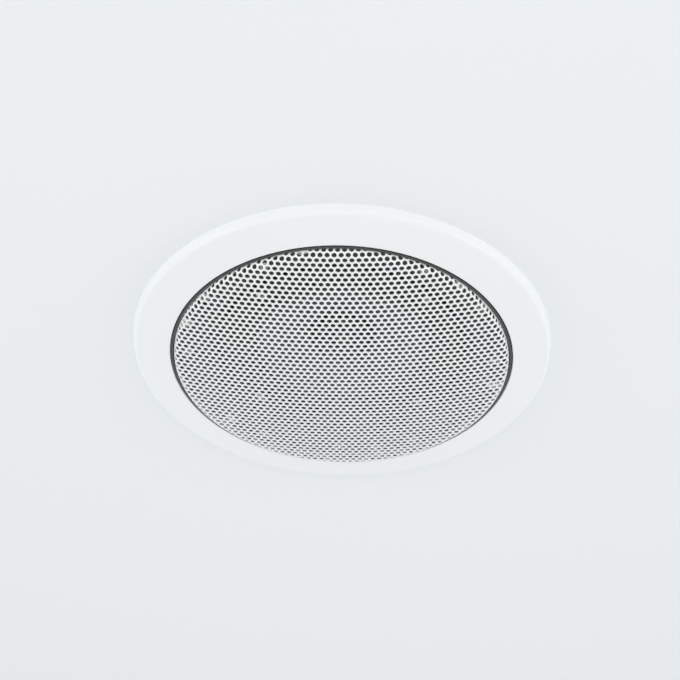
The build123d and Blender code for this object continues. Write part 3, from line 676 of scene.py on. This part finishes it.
def finish_outputs(group, given, out, cloud, height):
    """Ends a group: clouded colour, clouded roughness and the height."""
    fall = sums(group, "MULTIPLY", given["Cloud"], -2.0)
    top = sums(group, "ADD", given["Cloud"], 1.0)
    shade = sums(group, "MULTIPLY_ADD", cloud, fall, top)
    feed(group, out["Colour"], brightened(group, given["Colour"], shade))
    low = sums(group, "SUBTRACT", given["Roughness"], given["Spread"])
    high = sums(group, "ADD", given["Roughness"], given["Spread"])
    feed(group, out["Roughness"], spread(group, cloud, low, high))
    feed(group, out["Height"], height)


def moulded_skin():
    """Spark-eroded plastic: fine even grain in height, slow clouds in colour and gloss."""
    group, given, out, place = new_group("moulded_skin")
    cloud = noise(group, place, 24.0, 3.0)
    finish_outputs(group, given, out, cloud, noise(group, place, given["Grain"], 3.0))


def powder_coat():
    """Powder paint: the soft cells of orange peel in height, slow clouds in colour and gloss."""
    group, given, out, place = new_group("powder_coat")
    cells = group.nodes.new("ShaderNodeTexVoronoi")
    cells.feature = "SMOOTH_F1"
    feed(group, cells.inputs["Vector"], place)
    feed(group, cells.inputs["Scale"], given["Grain"])
    cloud = noise(group, place, 30.0, 3.0)
    finish_outputs(group, given, out, cloud, cells.outputs["Distance"])


def plated_metal():
    """Plated steel: drawn streaks and small clouds in gloss and colour."""
    group, given, out, place = new_group("plated_metal")
    streaks = noise(group, stretched(group, place, (1.0, 1.0, 0.12)), given["Grain"], 4.0, 0.6)
    cloud = weighed(group, noise(group, place, 260.0, 4.0, 0.65), 0.6, streaks)
    finish_outputs(group, given, out, cloud, streaks)


def turned_metal():
    """Lathe-turned metal: fine rings round Z in height and gloss."""
    group, given, out, place = new_group("turned_metal")
    rings = group.nodes.new("ShaderNodeTexWave")
    rings.wave_type = "RINGS"
    rings.rings_direction = "Z"
    feed(group, rings.inputs["Vector"], place)
    feed(group, rings.inputs["Scale"], given["Grain"])
    feed(group, rings.inputs["Distortion"], 1.2)
    feed(group, rings.inputs["Detail"], 3.0)
    cloud = weighed(group, noise(group, place, 90.0, 4.0, 0.6), 0.75, rings.outputs["Fac"])
    finish_outputs(group, given, out, cloud, rings.outputs["Fac"])


def sintered():
    """Pressed and fired or foamed body: coarse grains with pits in height, speckled colour."""
    group, given, out, place = new_group("sintered")
    grains = group.nodes.new("ShaderNodeTexVoronoi")
    feed(group, grains.inputs["Vector"], place)
    feed(group, grains.inputs["Scale"], given["Grain"])
    speckle = noise(group, place, given["Grain"], 5.0, 0.7)
    height = sums(group, "MULTIPLY_ADD", grains.outputs["Distance"], 0.5, speckle)
    finish_outputs(group, given, out, speckle, height)


def woven_cloth():
    """Plain weave: two sets of threads across X and Y, each rising where the other dips."""
    group, given, out, place = new_group("woven_cloth")
    axes = group.nodes.new("ShaderNodeSeparateXYZ")
    feed(group, axes.inputs["Vector"], place)
    warp = sums(group, "SINE", sums(group, "MULTIPLY", axes.outputs["X"], given["Grain"]), 0.0)
    weft = sums(group, "SINE", sums(group, "MULTIPLY", axes.outputs["Y"], given["Grain"]), 0.0)
    crossing = sums(group, "MULTIPLY", warp, weft)
    height = sums(group, "MULTIPLY_ADD", crossing, 0.5, 0.5)
    cloud = weighed(group, noise(group, place, 120.0, 3.0), 0.5, height)
    finish_outputs(group, given, out, cloud, height)


def wound_wire():
    """Coil of fine wire: one round turn above the next along Z."""
    group, given, out, place = new_group("wound_wire")
    axes = group.nodes.new("ShaderNodeSeparateXYZ")
    feed(group, axes.inputs["Vector"], place)
    turns = sums(group, "SINE", sums(group, "MULTIPLY", axes.outputs["Z"], given["Grain"]), 0.0)
    height = sums(group, "ABSOLUTE", turns, 0.0)
    cloud = weighed(group, noise(group, place, 300.0, 2.0), 0.5, height)
    finish_outputs(group, given, out, cloud, height)


GROUPS = {
    maker.__name__: maker
    for maker in (moulded_skin, powder_coat, plated_metal, turned_metal, sintered, woven_cloth, wound_wire)
}

METAL = {"Metallic": 1.0}
LACQUER = {"Coat Weight": 0.4, "Coat Roughness": 0.15}
# Slot: group, grain, cloud, roughness, spread, bump strength, bump depth in metres, fixed sockets
FINISHES = {
    "white_abs": ("moulded_skin", 2600.0, 0.012, 0.42, 0.04, 0.25, 0.00003, {}),
    "white_powder": ("powder_coat", 1500.0, 0.012, 0.4, 0.04, 0.3, 0.00004, {}),
    "black_abs": ("moulded_skin", 2200.0, 0.08, 0.5, 0.06, 0.4, 0.00004, {}),
    "black_steel": ("powder_coat", 1200.0, 0.1, 0.38, 0.06, 0.35, 0.00005, {}),
    "zinc_steel": ("plated_metal", 900.0, 0.1, 0.34, 0.1, 0.2, 0.00003, METAL),
    "nickel": ("plated_metal", 700.0, 0.05, 0.18, 0.05, 0.15, 0.00002, METAL),
    "ferrite": ("sintered", 900.0, 0.25, 0.62, 0.08, 0.5, 0.00012, {}),
    "cork": ("sintered", 1400.0, 0.3, 0.9, 0.05, 0.8, 0.0002, {}),
    "rubber": ("moulded_skin", 1500.0, 0.15, 0.55, 0.08, 0.3, 0.00005, {}),
    "cone_grey": ("moulded_skin", 900.0, 0.12, 0.5, 0.08, 0.4, 0.00008, {}),
    "cap_black": ("moulded_skin", 400.0, 0.05, 0.2, 0.03, 0.05, 0.00002, LACQUER),
    "spider_cloth": ("woven_cloth", 8200.0, 0.2, 0.85, 0.06, 0.9, 0.00015, {}),
    "former_foil": ("plated_metal", 500.0, 0.08, 0.3, 0.08, 0.2, 0.00003, METAL),
    "copper": ("wound_wire", 12500.0, 0.1, 0.3, 0.08, 0.9, 0.0001, METAL),
    "tag_board": ("sintered", 1800.0, 0.2, 0.7, 0.06, 0.4, 0.00006, {}),
    "tinned_brass": ("plated_metal", 800.0, 0.1, 0.28, 0.08, 0.2, 0.00003, METAL),
    "tinsel": ("wound_wire", 9000.0, 0.15, 0.35, 0.08, 0.6, 0.0001, METAL),
    "red_plastic": ("moulded_skin", 1800.0, 0.06, 0.3, 0.05, 0.2, 0.00003, {}),
    "wire_red": ("moulded_skin", 1200.0, 0.08, 0.4, 0.05, 0.2, 0.00004, {}),
    "wire_black": ("moulded_skin", 1200.0, 0.08, 0.4, 0.05, 0.2, 0.00004, {}),
    "grey_nylon": ("moulded_skin", 1800.0, 0.06, 0.45, 0.06, 0.3, 0.00005, {}),
}
# Slots whose colour a user may change; the others keep the record's
CHOSEN_COLOURS = {
    "white_abs": "bezel",
    "white_powder": "grille",
    "black_abs": "baffle",
    "cone_grey": "cone",
    "rubber": "surround",
}
# Solids that show the marks of a lathe, with their colour and the values of their finish
TURNED_NODES = ("yoke", "top_plate")
TURNED_TINT = (0.6, 0.6, 0.59)
TURNED_FINISH = ("turned_metal", 900.0, 0.1, 0.33, 0.08, 0.25, 0.00003, METAL)


def make_material(name, tint, finish):
    """Principled material whose colour, roughness and bump come from one group."""
    group_name, grain, cloud, rough, rough_spread, strength, depth, fixed = finish
    if group_name not in bpy.data.node_groups:
        GROUPS[group_name]()
    material = bpy.data.materials.new(name)
    material.use_nodes = True
    tree = material.node_tree
    shader = tree.nodes["Principled BSDF"]
    skin = tree.nodes.new("ShaderNodeGroup")
    skin.node_tree = bpy.data.node_groups[group_name]
    skin.inputs["Colour"].default_value = (*tint, 1.0)
    for label, value in (("Grain", grain), ("Cloud", cloud), ("Roughness", rough), ("Spread", rough_spread)):
        skin.inputs[label].default_value = value
    bump = tree.nodes.new("ShaderNodeBump")
    bump.inputs["Strength"].default_value = strength
    bump.inputs["Distance"].default_value = depth
    tree.links.new(skin.outputs["Colour"], shader.inputs["Base Color"])
    tree.links.new(skin.outputs["Roughness"], shader.inputs["Roughness"])
    tree.links.new(skin.outputs["Height"], bump.inputs["Height"])
    tree.links.new(bump.outputs["Normal"], shader.inputs["Normal"])
    for label, value in fixed.items():
        shader.inputs[label].default_value = value
    return material


def slot_material(slot):
    """The finish of a record slot, made once."""
    name = f"finish_{slot}"
    if name not in bpy.data.materials:
        chosen = CHOSEN_COLOURS.get(slot)
        tint = getattr(bpy.context.scene.speaker_colours, chosen) if chosen else RECORD_COLOURS[slot]
        make_material(name, tuple(tint), FINISHES[slot])
    return bpy.data.materials[name]


class SPEAKER_OT_finishes(bpy.types.Operator):
    """Gives every solid its procedural finish"""

    bl_idname = "speaker.finishes"
    bl_label = "Finishes"

    def execute(self, context):
        turned_steel = make_material("finish_turned_steel", TURNED_TINT, TURNED_FINISH)
        for part in frame["record"]["subparts"]:
            solid = frame["nodes"][part["node"]]
            finish = turned_steel if part["node"] in TURNED_NODES else slot_material(part["material_slot"])
            solid.material_slots[0].material = finish
        return {"FINISHED"}


def ceiling_material(tint):
    """Pale matt paint on the side towards the room; the side above lets everything through."""
    material = bpy.data.materials.new("ceiling_paint")
    material.use_nodes = True
    tree = material.node_tree
    shader = tree.nodes["Principled BSDF"]
    shader.inputs["Base Color"].default_value = (*tint, 1.0)
    shader.inputs["Roughness"].default_value = 0.9
    shader.inputs["Specular IOR Level"].default_value = 0.2
    clear = tree.nodes.new("ShaderNodeBsdfTransparent")
    side = tree.nodes.new("ShaderNodeNewGeometry")
    mix = tree.nodes.new("ShaderNodeMixShader")
    tree.links.new(side.outputs["Backfacing"], mix.inputs["Fac"])
    tree.links.new(shader.outputs["BSDF"], mix.inputs[1])
    tree.links.new(clear.outputs["BSDF"], mix.inputs[2])
    tree.links.new(mix.outputs["Shader"], tree.nodes["Material Output"].inputs["Surface"])
    return material


def add_lamp(name, place, aim, size, power, shape="SQUARE"):
    """Area lamp at a place, turned towards an aim."""
    lamp = bpy.data.lights.new(name, "AREA")
    lamp.shape = shape
    lamp.size = size
    lamp.energy = power
    holder = bpy.data.objects.new(name, lamp)
    bpy.context.scene.collection.objects.link(holder)
    holder.location = place
    holder.rotation_euler = (Vector(aim) - Vector(place)).to_track_quat("-Z", "Y").to_euler()


def set_world(floor, walls, lean):
    """Light of a room: weak from the floor, and stronger towards the level of the walls.

    For a unit direction, the strength is the walls' plus lean times Y, less the height times what the walls
    have more than the floor. So the lean adds light on the far side and takes as much from the near side,
    where it is a little warmer. The camera and reflections see an even pale background instead.
    """
    world = bpy.data.worlds.new("pale_room")
    bpy.context.scene.world = world
    world.use_nodes = True
    tree = world.node_tree
    light = tree.nodes["Background"]
    direction = tree.nodes.new("ShaderNodeSeparateXYZ")
    tree.links.new(tree.nodes.new("ShaderNodeTexCoord").outputs["Generated"], direction.inputs["Vector"])
    height = sums(tree, "ABSOLUTE", direction.outputs["Z"], 0.0)
    level = sums(tree, "MULTIPLY_ADD", direction.outputs["Y"], lean, walls)
    feed(tree, light.inputs["Strength"], sums(tree, "MULTIPLY_ADD", height, floor - walls, level))
    # A colour mix has its two colours on inputs 6 and 7 and its result on output 2
    tint = tree.nodes.new("ShaderNodeMix")
    tint.data_type = "RGBA"
    feed(tree, tint.inputs[0], sums(tree, "MULTIPLY_ADD", direction.outputs["Y"], 0.5, 0.5))
    tint.inputs[6].default_value = NEAR_TINT
    tint.inputs[7].default_value = FAR_TINT
    tree.links.new(tint.outputs[2], light.inputs["Color"])
    pale = tree.nodes.new("ShaderNodeBackground")
    pale.inputs["Color"].default_value = PALE
    path = tree.nodes.new("ShaderNodeLightPath")
    seen = sums(tree, "MAXIMUM", path.outputs["Is Camera Ray"], path.outputs["Is Glossy Ray"])
    seen = sums(tree, "MAXIMUM", seen, path.outputs["Is Transmission Ray"])
    mix = tree.nodes.new("ShaderNodeMixShader")
    tree.links.new(seen, mix.inputs["Fac"])
    tree.links.new(light.outputs["Background"], mix.inputs[1])
    tree.links.new(pale.outputs["Background"], mix.inputs[2])
    tree.links.new(mix.outputs["Shader"], tree.nodes["World Output"].inputs["Surface"])


def set_camera(sizes):
    """Camera below the near side, looking up along +Y.

    Its axes are the tilted line of sight and the two across it, turned about it by the roll.
    """
    forward = Vector((0, cos(sizes.tilt), sin(sizes.tilt)))
    upward = Vector((0, -sin(sizes.tilt), cos(sizes.tilt)))
    sideways = Vector((1, 0, 0))
    right = cos(sizes.roll) * sideways - sin(sizes.roll) * upward
    top = sin(sizes.roll) * sideways + cos(sizes.roll) * upward
    camera = bpy.data.cameras.new("photo_camera")
    camera.lens = sizes.lens
    camera.sensor_width = 36.0
    camera.shift_x = SHIFT_RIGHT / PICTURE_SIDE
    camera.shift_y = SHIFT_UP / PICTURE_SIDE
    camera.clip_start, camera.clip_end = 0.01, 50.0
    holder = bpy.data.objects.new("photo_camera", camera)
    bpy.context.scene.collection.objects.link(holder)
    place = Vector((0, 0, sizes.aim)) - sizes.distance * forward
    turn = Matrix((right, top, -forward)).transposed().to_4x4()
    holder.matrix_world = Matrix.Translation(place) @ turn
    bpy.context.scene.camera = holder


def add_panel(sizes, tint):
    """Flat ceiling panel with a round hole: rings whose radii grow by one ratio from the hole to the edge."""
    radii = np.geomspace(sizes.cut_out, sizes.panel, PANEL_RINGS)
    angle = 2 * pi * np.arange(PANEL_SEGMENTS) / PANEL_SEGMENTS
    x, y = np.outer(radii, np.cos(angle)), np.outer(radii, np.sin(angle))
    points = np.stack([x, y, np.full_like(x, PANEL_HEIGHT)], -1).reshape(-1, 3)
    mesh = bpy.data.meshes.new("ceiling_panel")
    mesh.from_pydata(points.tolist(), [], grid_faces(PANEL_RINGS, PANEL_SEGMENTS))
    mesh.materials.append(ceiling_material(tint))
    panel = bpy.data.objects.new("ceiling_panel", mesh)
    bpy.context.scene.collection.objects.link(panel)


class SPEAKER_OT_stage(bpy.types.Operator):
    """Makes the ceiling panel, the lamps, the light of the room and the camera"""

    bl_idname = "speaker.stage"
    bl_label = "Stage"

    def execute(self, context):
        sizes = context.scene.speaker_stage
        add_panel(sizes, context.scene.speaker_colours.ceiling)
        add_lamp("key_lamp", (0.03, -1.25, -0.62), (0, 0, 0), 0.12, sizes.key)
        add_lamp("edge_lamp", (1.2, -0.5, -0.2), (0, 0, 0), 0.36, sizes.edge)
        add_lamp("side_lamp", (-1.2, -0.5, -0.2), (0, 0, 0), 0.36, sizes.side)
        add_lamp("under_lamp", (0.06, -0.17, -1.3), (0, 0, 0), 1.2, sizes.under, "DISK")
        add_lamp("back_lamp_left", (-1.0, -0.9, 1.3), (0, 0, 0.02), 1.0, sizes.back)
        add_lamp("back_lamp_right", (1.2, 0.9, 1.1), (0, 0, 0.02), 1.0, sizes.back)
        set_world(sizes.floor, sizes.walls, sizes.lean)
        set_camera(sizes)
        context.scene.view_settings.view_transform = "Standard"
        return {"FINISHED"}


class SPEAKER_PT_panel(bpy.types.Panel):
    """Lists the sizes, colours and steps of the speaker"""

    bl_idname = "SPEAKER_PT_panel"
    bl_label = "Ceiling speaker"
    bl_space_type = "VIEW_3D"
    bl_region_type = "UI"
    bl_category = "Speaker"

    def draw(self, context):
        for maker in OPERATORS:
            self.layout.operator(maker.bl_idname)
        for name, group in SIZE_GROUPS.items():
            box = self.layout.box()
            box.label(text=group.__doc__)
            for label in group.__annotations__:
                box.prop(getattr(context.scene, name), label)


SIZE_GROUPS = {
    "speaker_grille": GrilleSizes,
    "speaker_suspension": SuspensionSizes,
    "speaker_screws": ScrewSizes,
    "speaker_colours": FinishColours,
    "speaker_stage": StageSizes,
}
OPERATORS = (
    SPEAKER_OT_finishes,
    SPEAKER_OT_grille,
    SPEAKER_OT_suspension,
    SPEAKER_OT_tinsel,
    SPEAKER_OT_clamp_screws,
    SPEAKER_OT_stage,
)
CLASSES = (*SIZE_GROUPS.values(), *OPERATORS, SPEAKER_PT_panel)


def register():
    """Adds the classes, and the groups of sizes to the scene."""
    for item in CLASSES:
        bpy.utils.register_class(item)
    for name, group in SIZE_GROUPS.items():
        setattr(bpy.types.Scene, name, PointerProperty(type=group))


def unregister():
    """Takes away what register adds, in the opposite order."""
    for name in SIZE_GROUPS:
        delattr(bpy.types.Scene, name)
    for item in reversed(CLASSES):
        bpy.utils.unregister_class(item)


def main():
    """Registers the add-on and makes every piece in order."""
    register()
    bpy.ops.speaker.finishes()
    bpy.ops.speaker.grille()
    bpy.ops.speaker.suspension()
    bpy.ops.speaker.tinsel()
    bpy.ops.speaker.clamp_screws()
    bpy.ops.speaker.stage()


if __name__ == "__main__":
    main()
